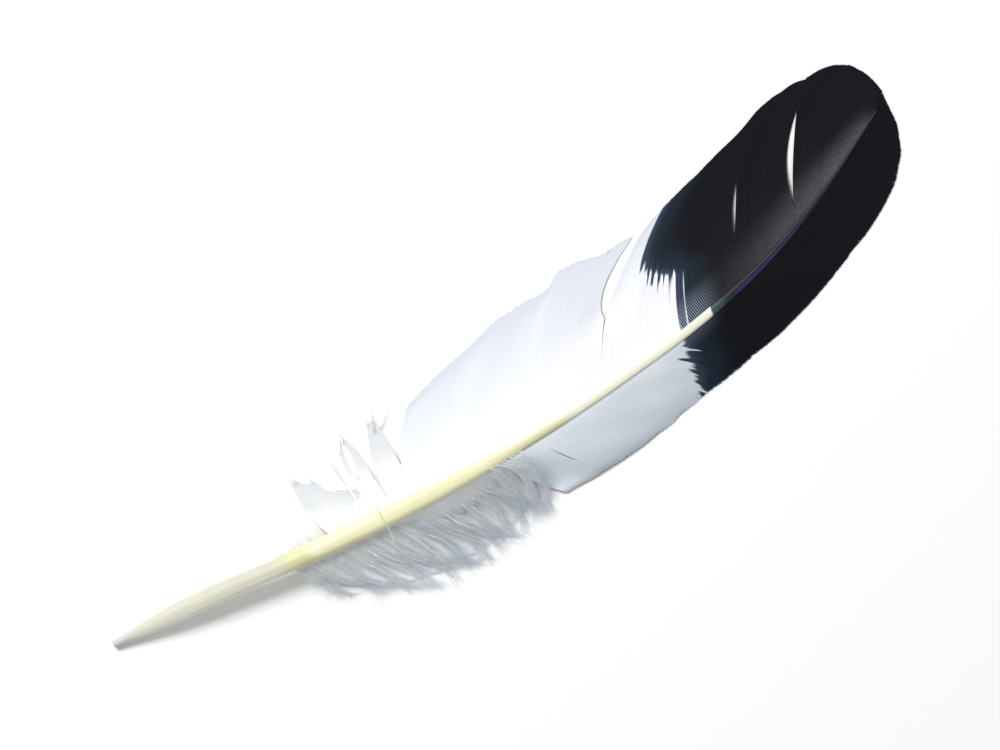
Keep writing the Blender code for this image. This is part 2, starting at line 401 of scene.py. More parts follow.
# Each web: stations of its first and last root, side, headings of those barbs in degrees,
# outer edge in plan, partings, and what it does of its own as it falls to the table.
WEDGE = parting(161.5, 0.44, 1.0, 3.6, shares=(1.0, 0.25), sinks_over=8.0, grows=0.85)
TIP_SLIT = parting(236.3, 0.05, 0.8, 1.3)
WEBS = {
    "broad_vane_lower": {
        "roots": (97.6, 161.5), "side": 1, "angles": (92.0, 63.0), "fall": broad_fall,
        "edge": ((112.0, 7.8), (122.0, 9.6), (136.0, 11.1), (149.0, 13.1), (158.0, 12.4),
                 (166.4, 12.2), (170.4, 14.1), (175.0, 13.6), (184.0, 11.0), (195.4, 9.9)),
        "partings": (WEDGE,),
    },
    "broad_vane_middle": {
        "roots": (161.5, 236.3), "side": 1, "angles": (63.0, 69.0), "fall": broad_fall,
        "edge": ((195.9, 8.3), (201.0, 10.2), (209.9, 12.0), (220.0, 13.6), (230.0, 15.3),
                 (238.0, 16.6), (247.0, 18.8), (254.6, 19.1), (260.4, 18.6), (263.1, 17.8)),
        "partings": (WEDGE, parting(212.7, 0.22, 0.62, 0.56), TIP_SLIT), "sweep": 0.92, "hollow": 1.7,
    },
    "broad_vane_tip": {
        "roots": (236.3, 273.4), "side": 1, "angles": (69.0, 22.0), "fall": broad_fall,
        "edge": ((263.3, 18.1), (268.4, 17.6), (274.8, 14.6), (277.6, 10.4), (278.9, 5.6),
                 (279.2, 2.0)),
        "partings": (TIP_SLIT,), "hollow": 1.7,
    },
    "narrow_vane": {
        "roots": (123.5, 273.4), "side": -1, "angles": (-68.0, 36.0), "fall": narrow_fall,
        "edge": ((135.0, -41.2), (146.0, -42.4), (160.0, -43.1), (183.0, -41.5), (201.5, -40.3),
                 (223.3, -37.6), (243.5, -32.1), (260.4, -26.1), (270.8, -19.0), (276.2, -11.0),
                 (279.0, 1.4)),
        "partings": (parting(126.0, 0.12, 0.42, 0.12), parting(135.4, 0.14, 0.66, 0.18)),
        "sinks": 1.6, "stands": 1.4,
    },
}
# Where the dyed broad web is most hollow and over what span, and the stretches over which the
# narrow web's first barbs sink and stand clear: where each is over, and its length.
HOLLOW_AT = 225.0
HOLLOW_SPAN = 26.0
SINKS_UNTIL = 136.0
SINKS_OVER = 12.0
STANDS_UNTIL = 172.0
STANDS_OVER = 40.0

# Where the dye stopped, in plan: how far along the chord at each distance across it.
DYE_LINE_ACROSS = (-42.2, -39.3, -35.5, -32.3, -28.0, -24.0, -20.5, -14.5, -10.0, -6.5, -4.0, -0.3,
                   1.9, 4.3, 6.9, 8.6, 10.2, 11.7, 14.0)
DYE_LINE_ALONG = (183.0, 183.8, 186.2, 186.6, 187.2, 188.6, 190.0, 192.8, 195.6, 196.6, 194.2, 192.2,
                  192.5, 195.0, 198.6, 201.8, 204.8, 208.0, 213.0)
# Barbs that the dye ran down further, or that kept it out: root, run and half width in mm.
DYE_RUNS = ((167.8, 1.2, 0.8), (173.2, 3.2, 0.8), (175.6, 2.4, 0.5), (177.4, 4.6, 0.5), (179.5, 8.2, 0.6),
            (182.2, 6.6, 0.6), (184.2, 3.4, 0.5), (186.8, 3.7, 0.5), (188.4, -3.0, 0.6), (192.0, -4.4, 0.5))
NARROW_DYE_RUNS = ((168.1, -2.0, 0.4), (170.6, -3.2, 0.4), (172.6, 1.8, 0.7), (175.2, 2.4, 0.7),
                   (178.6, 1.8, 0.7), (183.0, -6.6, 0.35), (184.6, 1.6, 0.6))


def edge_curve(edge, fraction):
    """Smooth curve through the edge's points, by fraction of its length."""
    points = np.array(edge)
    run = np.concatenate(([0.0], np.cumsum(np.linalg.norm(np.diff(points, axis=0), axis=1))))
    at = fraction * run[-1]
    return np.stack((smooth(at, run, points[:, 0]), smooth(at, run, points[:, 1])), axis=-1)


def barb_plan(web, station, reach):
    """Each barb is a quadratic curve in plan: root at the shaft's side, first heading
    at the web's own angle, end on the outer edge."""
    first, last = web["roots"]
    along = np.clip((station - first) / (last - first), 0, 1)
    radius = smooth(station, GIRTH_STATIONS, GIRTH) / 2
    _, across, _ = shaft_frame(station)
    root = shaft_line(station)[..., :2] + across[..., :2] * (web["side"] * ROOT_OUT * radius)[..., None]
    tip = edge_curve(web["edge"], along ** web.get("sweep", 1.0))
    angle = np.radians(web["angles"][0] + (web["angles"][1] - web["angles"][0]) * along)
    heading = np.stack((np.cos(angle), np.sin(angle)), axis=-1)
    bend = root + heading * 0.5 * np.linalg.norm(tip - root, axis=-1, keepdims=True)
    reach = reach[..., None]
    return root * (1 - reach) ** 2 + bend * 2 * reach * (1 - reach) + tip * reach ** 2


def parting_lens(opening, station, reach):
    """1 in the middle of a parting's open length and at its root, 0 at its two ends and
    far from it along the shaft."""
    opened = np.clip((reach - opening["opens"]) / (opening["closes"] - opening["opens"]), 0, 1)
    beside = np.exp(-np.abs(station - opening["root"]) / PARTING_SPAN)
    return np.sin(math.pi * opened ** opening["grows"]) * beside


def gentle_swell(station, reach):
    """Slow waves of a tenth or two of a millimetre in mid web, none at its root and edge."""
    wave = (0.2 * np.sin(station / 5.3 + 3.0 * reach) * np.sin(station / 13.0 + 1.0)
            + 0.1 * np.sin(station / 2.9 - 5.0 * reach))
    return wave * np.sin(math.pi * np.clip(reach, 0, 1)) ** 1.5


def web_place(web, station, reach, clump):
    """A web's upper side: barbs pushed apart along the chord at each parting, and falling
    from the rachis to the table, lower still beside the wedge."""
    plan = barb_plan(web, station, reach)
    radius = smooth(station, GIRTH_STATIONS, GIRTH) / 2
    root_height = shaft_line(station)[..., 2] + web.get("rises", ROOT_UP) * radius
    lying = web.get("lying", LYING_HEIGHT)
    fall = web["fall"](reach)
    for opening in web["partings"]:
        lens = parting_lens(opening, station, reach)
        on_quill_side = clump[1] <= opening["root"]
        towards = -1 if on_quill_side else 1
        share = opening["shares"][0 if on_quill_side else 1]
        lap = PARTING_LAP if opening["root"] in clump else 0.0
        plan[..., 0] += towards * (opening["width"] * share * lens - lap)
        if opening["sinks over"]:
            near = np.exp(-((station - opening["root"]) / opening["sinks over"]) ** 2)
            opened = np.clip((reach - opening["opens"] + 0.2) / 0.3, 0, 1)
            closed = np.clip((opening["closes"] + 0.1 - reach) / 0.2, 0, 1)
            fall = fall * (1 - PARTING_SINKS * near * opened * opened * (3 - 2 * opened) * closed)
    # The dyed broad web hollows further down, so that its slits lie close to the table, and
    # the first barbs of the narrow one sink on to the down.
    fall = fall ** (1 + web.get("hollow", 0.0) * np.exp(-((station - HOLLOW_AT) / HOLLOW_SPAN) ** 2)
                    + web.get("sinks", 0.0) * np.clip((SINKS_UNTIL - station) / SINKS_OVER, 0, 1) ** 1.5)
    height = lying + (root_height - lying) * fall
    height = height + web.get("swell", gentle_swell)(station, reach)
    # The loose lowest stretch of the narrow web stands clear and rolls under at its rim.
    stands = web.get("stands", 0.0) * np.clip((STANDS_UNTIL - station) / STANDS_OVER, 0, 1) ** 1.2
    height = height + stands * reach ** 2 * (1 - np.clip((reach - 0.86) / 0.14, 0, 1) ** 2)
    height = np.maximum(height, LEAST_HEIGHT)
    if clump[0] in [opening["root"] for opening in web["partings"]]:
        height = height - PARTING_STEP * np.clip(1 - (station - clump[0]) / 0.6, 0, 1)
    return np.concatenate((plan, height[..., None]), axis=-1)


def dye_reach(plan):
    """How far a point lies beyond the dye line, in mm along the chord."""
    return plan[..., 0] - smooth(plan[..., 1], DYE_LINE_ACROSS, DYE_LINE_ALONG)


def web_sheet(web, clump, dice):
    """One clump of hooked barbs as a closed sheet. Four rows of points to a barb make its
    low edge, flank, crest and flank; the valleys end short of the crests, so the
    outer edge is toothed. Gives both sides' places, faces, values and stations."""
    low, high = clump
    count = max(1, round((high - low) / web.get("spacing", BARB_SPACING)))
    columns = web.get("columns", WEB_COLUMNS)
    step = np.arange(count * ROWS_PER_BARB + 1) / ROWS_PER_BARB
    barb = np.minimum(step.astype(int), count - 1)
    crest = 1 - np.abs(2 * (step - np.floor(step)) - 1)
    in_valley = crest < 0.01

    def of_barb(values):
        """A barb's own value along its rows, shared with its neighbour in the valley."""
        own = values[barb]
        before = values[np.maximum(barb - 1, 0)]
        return np.where(in_valley, (own + before) / 2, own)[:, None]

    station = (low + (high - low) * step / count)[:, None]
    tone = of_barb(dice.random(count))
    run = dice.normal(0.0, 0.35, count)
    run += np.where(dice.random(count) < LONG_RUN_CHANCE, dice.uniform(0.6, 1.6, count), 0.0)
    roots = low + (high - low) * (np.arange(count) + 0.5) / count
    for root, length, spread in (DYE_RUNS if web["side"] > 0 else NARROW_DYE_RUNS):
        run += length * np.clip(1.15 - np.abs(roots - root) / spread, 0, 1)
    run = of_barb(run)

    ends = web_place(web, station, np.array([[0.0, 1.0]]), clump)
    length = np.linalg.norm(ends[:, 1:, :2] - ends[:, :1, :2], axis=-1)
    teeth, ragged = web.get("teeth", WEB_TEETH)
    nick = np.where(dice.random(count) < NICK_CHANCE, dice.uniform(0.4, 1.5, count), 0.0)
    waver = 0.35 * (1 + np.sin(roots / 2.3 + 2 * np.sin(roots / 5.1)) * np.sin(roots / 7.7))
    # The dyed barbs hold together better, so their teeth are finer.
    fine = 1 - 0.65 * np.clip((station - 180.0) / 15.0, 0, 1)
    on_flank = 0.15 * (1 - crest) * teeth / WEB_TEETH[0]
    short = np.where(in_valley, teeth + nick[barb], on_flank)[:, None]
    short = fine * (short + of_barb(dice.uniform(0.0, ragged, count) + waver))
    reach = np.linspace(0.0, 1.0, columns)[None, :] * (1 - np.clip(short / length, 0, 0.6))

    upper = web_place(web, station, reach, clump)
    upper[..., 2] += (CREST_HEIGHT * crest[:, None] + 0.03 * (tone - 0.5)) * np.clip(reach * 12, 0, 1)
    thickness = web.get("thickness", WEB_THICKNESS) * (0.55 + 0.45 * crest[:, None])
    lower = upper.copy()
    lower[..., 2] = np.maximum(upper[..., 2] - thickness, LEAST_UNDERSIDE)

    rows = len(step)
    top = grid_faces(rows, columns)
    bottom = top[:, ::-1] + rows * columns
    ring = np.concatenate((np.arange(columns), np.arange(1, rows) * columns + columns - 1,
                           (rows - 1) * columns + np.arange(columns - 2, -1, -1),
                           np.arange(rows - 2, 0, -1) * columns))
    following = np.roll(ring, -1)
    wall = np.stack((ring, ring + rows * columns, following + rows * columns, following), axis=-1)
    faces = np.concatenate((top, bottom, wall))
    if web["side"] > 0:
        faces = faces[:, ::-1]
    # Dye that ran down a barb stopped short of its root.
    run = np.where(run > 0, run * np.clip(reach * 4, 0, 1), run)
    values = {
        "dye": dye_reach(upper) + run,
        "beyond": dye_reach(upper) + 0.3 * run,
        "tone": tone + 0 * reach,
        "crest": crest[:, None] + 0 * reach,
        "reach": reach,
        "gap": web["side"] * reach * length,
    }
    return upper, lower, faces, values, station + 0 * reach


def add_web(name, webs, dice):
    """A piece of one or more webs, each made of the clumps between its partings."""
    points, faces, charts = [], [], []
    values = {}
    start = 0
    for web in webs:
        first, last = web["roots"]
        inner = [opening["root"] for opening in web["partings"] if first < opening["root"] < last]
        cuts = [first, *inner, last]
        for clump in zip(cuts[:-1], cuts[1:]):
            upper, lower, quads, own, station = web_sheet(web, clump, dice)
            points += [upper.reshape(-1, 3), lower.reshape(-1, 3)]
            faces.append(quads + start)
            start += 2 * upper.shape[0] * upper.shape[1]
            for key, value in own.items():
                values.setdefault(key, []).extend((value.ravel(), value.ravel()))
            along = (station - first) / (last - first)
            for shelf in (0.0, 0.5):
                charts.append(np.stack((along, shelf + 0.48 * own["reach"]), axis=-1).reshape(-1, 2))
    values = {key: np.concatenate(parts) for key, parts in values.items()}
    return add_mesh(name, np.concatenate(points), [np.concatenate(faces)], values,
                    np.concatenate(charts))


HATCH_PITCH = (0.00065, 0.0006)   # of the barbules' lines on the broad and the narrow web, in m
HATCH_LEAN = (0.906, 0.423)       # direction in which the narrow web's lines follow each other


def web_finish():
    """White barbs, greyer and bluer outwards as painted shade; the narrow web painted whiter as painted
    light, darker towards its rim as painted shade, and painted shade in the valleys between barbs; beyond
    the dye line slate blue, then black, with a painted grey sheen and the fine grey hatch of the barbules
    close to the rachis."""
    made, shader, wire = finish("web barbs", Specular_IOR_Level=0.05)
    tone = wire.value("tone")
    crest = wire.value("crest")
    reach = wire.value("reach")
    dye = wire.value("dye")
    gap = wire.value("gap")
    cloud = wire.noise(55.0, 3.0)
    narrow = gap.band(0.2, -0.2)
    # Painted shade: the white turns greyer and bluer towards the web's outer edge.
    white = reach.band(0.1, 0.95).mix(tint(238, 238, 241), tint(225, 229, 239))
    # The narrow web slopes away from the lamp: it is painted whiter and bluer than the broad web as painted
    # light, then darker towards its rim as painted shade of the rim rolling under.
    rim = gap.band(-12.0, -26.0)
    white = narrow.mix(white, rim.mix(tint(236, 243, 249), tint(205, 216, 228)))
    white = (cloud.band(0.45, 0.75) * 0.4).mix(white, tint(224, 228, 238))
    # Painted shade in the valleys between barbs, plus a random tone to each barb.
    white = ((1 - crest) * 0.08 + tone * 0.05).mix(white, tint(185, 193, 210))
    # Beyond the dye line: slate, then black, with a painted grey sheen beside the rachis.
    beyond = wire.value("beyond")
    slate = beyond.band(4.0, 0.0).mix(tint(36, 49, 62), tint(62, 72, 92))
    black = beyond.band(2.0, 15.0).mix(slate, tint(24, 24, 30))
    grain = wire.noise(1600.0, 2.0)
    painted_sheen = gap.band(14.0, 0.0) * gap.band(-0.2, 0.2)
    painted_sheen = painted_sheen * beyond.band(0.0, 62.0) * beyond.band(83.0, 72.0)
    black = (painted_sheen * (grain.band(0.3, 0.7) * 0.4 + 0.6)).mix(black, tint(90, 88, 92))
    # Painted shade in the valleys between the black barbs, plus a random tone to each barb.
    black = ((1 - crest) * 0.12 + tone * 0.14).mix(black, tint(14, 15, 20))
    # The hatch: waves along the web, seen only close to the rachis.
    place = wire.node("ShaderNodeTexCoord", output="Object")
    along = wire.node("ShaderNodeSeparateXYZ", {"Vector": place}, 0)
    across = wire.node("ShaderNodeSeparateXYZ", {"Vector": place}, 1)
    broad_lines = (along * (2 * math.pi / HATCH_PITCH[0])).sine()
    onward = across * HATCH_LEAN[0] - along * HATCH_LEAN[1]
    narrow_lines = (onward * (2 * math.pi / HATCH_PITCH[1])).sine()
    broad_hatch = broad_lines.band(-0.2, 0.9) * gap.band(11.0, 3.0) * gap.band(-0.2, 0.2)
    narrow_hatch = narrow_lines.band(-0.2, 0.9) * gap.band(-9.0, -2.0) * narrow
    hatch = (broad_hatch * 0.9 + narrow_hatch * 0.4) * beyond.band(16.0, 5.0)
    black = hatch.mix(black, tint(142, 150, 168))
    edge = dye + cloud * 1.2 - 0.6
    soaked = edge.band(-0.9, 0.8)
    join(shader, soaked.mix(white, black), "Base Color")
    join(shader, soaked * 0.05 + 0.6, "Roughness")
    return made


dice = np.random.default_rng(7)
web_barbs = web_finish()
for node, web in WEBS.items():
    sheet = add_web(node + "_barbs", [web], dice)
    sheet.data.materials.append(web_barbs)
    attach(sheet, "root")
    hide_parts(node)
    "white_barbs" if node == "broad_vane_lower" else "dyed_barbs"


# ---------------------------------------------------------------------------
# The loose barbs below the broad web. They have few hooks, so they stand as three
# wispy tufts and one soft lobe, joined by a strip of short barbs along the rachis.
# ---------------------------------------------------------------------------
def settles(reach):
    """Loose barbs drop to the table over the first half of their length."""
    return np.clip(1 - reach / 0.6, 0, 1) ** 1.7


def loose(roots, angles, edge, partings=(), **more):
    """A loose web, on the broad side unless told otherwise: fine thin barbs, deep teeth and
    ragged ends, apart from what is given in its own words."""
    web = {"roots": roots, "side": 1, "angles": angles, "edge": edge, "partings": partings,
           "fall": settles, "lying": 0.3, "spacing": 0.4, "columns": 22, "thickness": 0.06,
           "teeth": (1.6, 1.4), "rises": 0.2}
    web.update(more)
    return web


# The lobe is down sooner than the tufts, and the short strip beside the rachis later.
LOOSE_WEBS = {
    "basal_lobe": (
        loose((70.6, 88.2), (112.0, 92.0),
              ((70.4, 9.4), (73.0, 7.0), (75.8, 6.0), (77.6, 1.6), (81.4, -1.1), (86.6, -4.4),
               (88.8, -8.6)), teeth=(0.6, 0.8), spacing=0.6, fall=lambda reach: settles(1.2 * reach)),
        loose((80.5, 99.6), (94.0, 88.0), ((82.0, -3.6), (86.2, -2.6), (92.0, -3.0), (100.4, -5.0)),
              teeth=(2.6, 1.6), rises=-0.1, columns=12, fall=lambda reach: settles(0.52 * reach)),
    ),
    "barb_tuft_1": (loose((90.4, 98.4), (87.0, 84.0), ((99.0, 11.2), (100.0, 11.0), (101.0, 10.0)),
                          teeth=(1.2, 1.4), spacing=0.8),),
    "barb_tuft_2": (loose((84.2, 90.6), (92.0, 88.0), ((89.2, 11.4), (89.8, 11.6), (90.4, 11.2)),
                          (parting(86.2, 0.4, 0.96, 1.3),), spacing=0.8, teeth=(1.2, 1.4)),),
    "barb_tuft_3": (loose((82.6, 83.4), (92.0, 92.0), ((82.4, 8.5), (82.6, 8.5), (82.8, 8.3)),
                          teeth=(4.0, 2.0)),),
}
WISP_STEPS = 6
WISP_THICKNESS = 0.08
# Wisps that run on from a tuft: where they start and end in plan, how many, and their spread.
WISPS = {
    "basal_lobe": (((71.8, 7.4), (69.6, 11.0), 12, 0.9), ((75.0, 4.5), (75.6, 7.6), 6, 0.6),
                   ((79.4, -0.9), (83.0, -4.8), 2, 0.12)),
    "barb_tuft_1": (((98.8, 6.0), (102.1, 12.4), 8, 0.35), ((100.6, 6.0), (106.3, 9.9), 8, 0.4)),
    "barb_tuft_2": (((89.2, 8.4), (90.3, 12.8), 5, 0.4), ((86.6, 7.0), (90.0, 12.4), 3, 0.3)),
    "barb_tuft_3": (((83.4, 3.0), (82.5, 9.2), 2, 0.1),),
}


def strands(path, thickness):
    """Closed strands, one along each row of path: a low ridge on a flat base, as wide as
    given at each place and drawn to a point at the last. Gives points, quads, triangles."""
    count, steps, _ = path.shape
    along = np.gradient(path, axis=1)
    along /= np.linalg.norm(along, axis=-1, keepdims=True) + 1e-9
    level = np.stack((-along[..., 1], along[..., 0], 0 * along[..., 0]), axis=-1)
    level /= np.linalg.norm(level, axis=-1, keepdims=True) + 1e-9
    above = np.cross(along, level)
    out = (np.array((0.5, 0.0, -0.5))[:, None] * level[:, :-1, None]
           + np.array((0.0, 0.3, 0.0))[:, None] * above[:, :-1, None])
    rings = path[:, :-1, None] + out * thickness[:, :-1, None, None]
    points = np.concatenate((rings.reshape(count, -1, 3), path[:, -1:]), axis=1)
    start = (np.arange(count) * points.shape[1])[:, None, None]
    quads = (grid_faces(steps - 1, 3, wrap=True)[None] + start).reshape(-1, 4)
    last = 3 * (steps - 2)
    point = points.shape[1] - 1
    ends = np.array(((last, last + 1, point), (last + 1, last + 2, point), (last + 2, last, point),
                     (2, 1, 0)))
    ends = (ends[None] + start).reshape(-1, 3)
    return points.reshape(-1, 3), quads, ends


def add_strands(name, path, thickness, tone):
    """A piece of many strands. Each has its own tone, from 0, shaded, to 1, white."""
    points, quads, ends = strands(path, thickness)
    each = points.shape[0] // len(tone)
    ring = np.minimum(np.arange(each) // 3, path.shape[1] - 1) / (path.shape[1] - 1)
    tones = np.repeat(tone, each)
    runs = np.tile(ring, len(tone))
    side = np.tile((np.arange(each) % 3) * 0.004, len(tone))
    chart = np.stack((0.99 * np.clip(tones, 0, 1) + side, runs), axis=-1)
    return add_mesh(name, points, [quads, ends], {"tone": tones}, chart, rounded=False)


def sprigs(start, heading, turn, length, rise, steps=4):
    """Strands that leave their starts at a heading in plan, turn evenly along their length
    and rise or sink, but stay above the table."""
    part = np.linspace(0.0, 1.0, steps)[None, :]
    angle = (heading[:, None] + turn[:, None] * part)[:, :-1]
    stride = (length / (steps - 1))[:, None]
    still = np.zeros((len(start), 1))
    along = np.concatenate((still, np.cumsum(stride * np.cos(angle), 1)), 1)
    across = np.concatenate((still, np.cumsum(stride * np.sin(angle), 1)), 1)
    height = np.maximum(start[:, 2:] + rise[:, None] * part, 0.08)
    return np.stack((start[:, :1] + along, start[:, 1:2] + across, height), axis=-1)


def loose_finish():
    """Soft white barbs, a little greener at the root and more lilac at the ends, with painted shade in the
    valleys between barbs.
    """
    made, shader, wire = finish("loose barbs", Specular_IOR_Level=0.1, Roughness=0.7)
    reach = wire.value("reach")
    tone = wire.value("tone")
    crest = wire.value("crest")
    white = reach.band(0.1, 0.7).mix(tint(238, 238, 235), tint(232, 235, 235))
    white = reach.band(0.6, 1.0).mix(white, tint(227, 229, 236))
    # Painted shade in the valleys between barbs, plus a random tone to each barb.
    white = ((1 - crest) * 0.08 + tone * 0.06).mix(white, tint(205, 211, 218))
    join(shader, white, "Base Color")
    return made


def wisp_finish():
    """Single loose barbs, a shade darker than the webs where they cross the white table."""
    made, shader, wire = finish("wisps", Specular_IOR_Level=0.1, Roughness=0.7)
    tone = wire.value("tone")
    join(shader, tone.mix(tint(232, 234, 239), tint(252, 252, 253)), "Base Color")
    return made


def wisp_paths(groups, dice):
    """Gently bowed lines from near one place to near another, low over the table."""
    part = np.linspace(0.0, 1.0, WISP_STEPS)[None, :, None]
    paths = []
    for begin, end, count, spread in groups:
        begins = np.array((*begin, 0.5)) + dice.normal(0, 0.35, (count, 1, 3)) * (1, 1, 0.4)
        finishes = np.array((*end, 0.4)) + dice.normal(0, spread, (count, 1, 3)) * (1, 1, 0.3)
        bow = dice.normal(0, 0.35, (count, 1, 3)) * (1, 1, 0.3) * np.sin(math.pi * part)
        paths.append(begins + (finishes - begins) * part + bow)
    path = np.concatenate(paths)
    path[..., 2] = np.clip(path[..., 2], 0.2, 0.6)
    return path


loose_barbs = loose_finish()
wisp_barbs = wisp_finish()
wisp_taper = WISP_THICKNESS * (1 - 0.75 * np.linspace(0, 1, WISP_STEPS))[None, :]
for node, webs in LOOSE_WEBS.items():
    tuft = add_web(node + "_barbs", webs, dice)
    tuft.data.materials.append(loose_barbs)
    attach(tuft, "root")
    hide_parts(node)
    path = wisp_paths(WISPS[node], dice)
    thickness = wisp_taper * dice.uniform(0.6, 1.2, (len(path), 1))
    wisps = add_strands(node + "_wisps", path, thickness, dice.random(len(path)))
    wisps.data.materials.append(wisp_barbs)
    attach(wisps, "root")


# ---------------------------------------------------------------------------
# The down. Below the narrow web the barbs have no hooks at all: long soft barbs,
# each with hundreds of fine floating barbules, lie together in wavy locks. A strip
# of short smooth barbs covers their roots, and a thin fringe grows opposite.
# ---------------------------------------------------------------------------
def slumps(reach):
    """Down sinks quickly beside the rachis and then lies ever flatter to its rim."""
    return np.clip(1 - reach / 0.95, 0, 1) ** 1.9


def stays_up(reach):
    """The short barbs over the down's roots drop by three quarters and no more."""
    return 1 - 0.75 * reach ** 1.1


def lumpy(station, reach):
    """The bed's swell, a lump or hollow to every lock."""
    ripple = np.sin(station * 1.5 + 4.0 * reach + 0.8 * np.sin(station / 4.0))
    return 0.5 * np.sin(math.pi * np.clip(reach, 0, 1)) * ripple


DOWN_TRACT = {
    "roots": (56.0, 131.0), "side": -1, "angles": (-78.0, -50.0), "sweep": 0.55, "partings": (),
    "edge": ((58.8, -18.5), (66.0, -27.5), (78.0, -36.5), (90.0, -42.0), (110.0, -43.6),
             (129.0, -41.5)), "fall": slumps, "lying": 0.5, "rises": -0.2,
}
DOWN_COVER = loose((83.5, 127.0), (-84.0, -60.0),
                   ((85.0, -17.5), (90.0, -23.0), (98.0, -27.0), (108.0, -29.0), (118.0, -28.6),
                    (128.5, -26.0)),
                   side=-1, fall=stays_up, rises=0.55, teeth=(0.7, 1.4), columns=16)
DOWN_BED = loose((56.5, 127.0), (-78.0, -50.0),
                 ((58.4, -17.0), (65.0, -24.8), (77.0, -33.6), (90.0, -38.9), (110.0, -40.8),
                  (128.0, -38.8)), side=-1, sweep=0.55, fall=slumps, rises=0.0, lying=0.5,
                 teeth=(1.4, 1.6), columns=30, swell=lumpy)
DOWN_FRINGE = {
    "roots": (51.0, 75.0), "side": 1, "angles": (84.0, 96.0), "partings": (),
    "edge": ((51.0, -6.2), (59.0, -6.0), (73.0, -7.4)), "fall": settles, "lying": 0.3, "rises": -0.2,
}
LOCKS = 16
DOWN_ROOTS = {
    "down_lower_locks": (56.0, 84.0),
    "down_middle_locks": (84.0, 104.0),
    "down_upper_locks": (104.0, 131.0),
}
STEMS = 70                    # barbs, long wisps and barbules in each piece of the tract,
LONG_WISPS = 26
BARBULES = 1900
FRINGE_BARBULES = 220         # and barbules in the thin fringe opposite
STEM_STEPS = 9
STEM_THICKNESS = 0.11
LONG_WISP_THICKNESS = 0.2
BARBULE_THICKNESS = (0.042, 0.038, 0.028, 0.0)


def lock_of(tract, root):
    """Number of the lock that a down barb belongs to."""
    first, last = tract["roots"]
    return np.floor((root - first) / (last - first) * LOCKS)


def lock_path(tract, root, reach, layer, wave):
    """Place on a down barb: in mid length it leans half way over to its lock's centre, it
    waves sideways more and more with reach, and its layer lifts it above the tract's floor."""
    first, last = tract["roots"]
    centre = (lock_of(tract, root) + 0.5) / LOCKS * (last - first) + first
    station = root + (centre - root) * 0.5 * np.sin(math.pi * np.clip(reach * 0.9, 0, 1))
    place = web_place(tract, station, reach, tract["roots"])
    sway = 1.4 * reach * np.sin(2 * math.pi * (1.3 * reach + 0.37 * centre) + wave)
    place[..., 0] += sway
    place[..., 1] += 0.5 * sway
    # The last locks lie over the first barbs of the narrow web.
    place[..., 2] += 2.6 * np.clip((root - 115.0) / 8.0, 0, 1) * np.clip(1.1 - reach, 0, 1)
    place[..., 2] += 0.1 + layer * (0.2 + 0.8 * np.sin(math.pi * np.clip(0.1 + 0.85 * reach, 0, 1)))
    return place


def down_barbules(tract, count, roots, dice, length):
    """Barbules: from places all along the down barbs, leaving at 5 to 38 degrees on either
    side and turning back along the barb. Gives their paths, thickness and tone."""
    root = dice.uniform(*roots, count)[:, None]
    reach = dice.uniform(0.0, 1.0, count)[:, None] ** 0.75 * dice.uniform(0.8, 1.0, count)[:, None]
    layer = dice.random(count)[:, None] ** 0.8
    wave = 0.5 * np.sin(root * 1.7)
    here = lock_path(tract, root, reach, layer, wave)[:, 0]
    ahead = lock_path(tract, root, np.minimum(reach + 0.03, 1.03), layer, wave)[:, 0] - here
    heading = np.arctan2(ahead[:, 1], ahead[:, 0])
    side = np.where(dice.random(count) < 0.3, -1.0, 1.0)
    leave = np.radians(dice.uniform(5.0, 38.0, count)) * side
    size = length * dice.uniform(0.5, 1.3, count) * (1 - 0.3 * reach[:, 0])
    rise = dice.normal(-0.1, 0.3, count)
    path = sprigs(here, heading + leave, -leave * dice.uniform(0.6, 1.5, count), size, rise)
    thickness = np.array(BARBULE_THICKNESS)[None] * dice.uniform(0.6, 1.4, count)[:, None]
    # The tone is painted shade: barbules in lower layers are darker, with a swing from lock to lock and a
    # random part.
    tone = 0.3 + 0.4 * layer[:, 0] + 0.2 * np.sin(lock_of(tract, root[:, 0]) * 2.4)
    return path, thickness, tone + dice.normal(0, 0.15, count)


def down_stems(tract, roots, dice):
    """The down barbs themselves, drawn out thin to their ends."""
    root = dice.uniform(*roots, STEMS)[:, None]
    part = np.linspace(0.0, 1.0, STEM_STEPS)[None, :]
    path = lock_path(tract, root, part, dice.random(STEMS)[:, None], 0.5 * np.sin(root * 1.7))
    return path, STEM_THICKNESS * (1 - 0.8 * part) * dice.uniform(0.6, 1.4, STEMS)[:, None]


def down_wisps(tract, roots, dice):
    """Long pale wisps that lie on top, over the middle of the locks."""
    root = dice.uniform(*roots, LONG_WISPS)[:, None]
    begins = dice.uniform(0.1, 0.4, LONG_WISPS)[:, None]
    reach = begins + np.linspace(0.0, 0.55, STEM_STEPS)[None, :]
    path = lock_path(tract, root, reach, 1.4 + 0 * root, np.sin(root * 2.3))
    taper = LONG_WISP_THICKNESS * (1 - 0.7 * np.linspace(0.0, 1.0, STEM_STEPS))
    return path, np.tile(taper, (LONG_WISPS, 1))


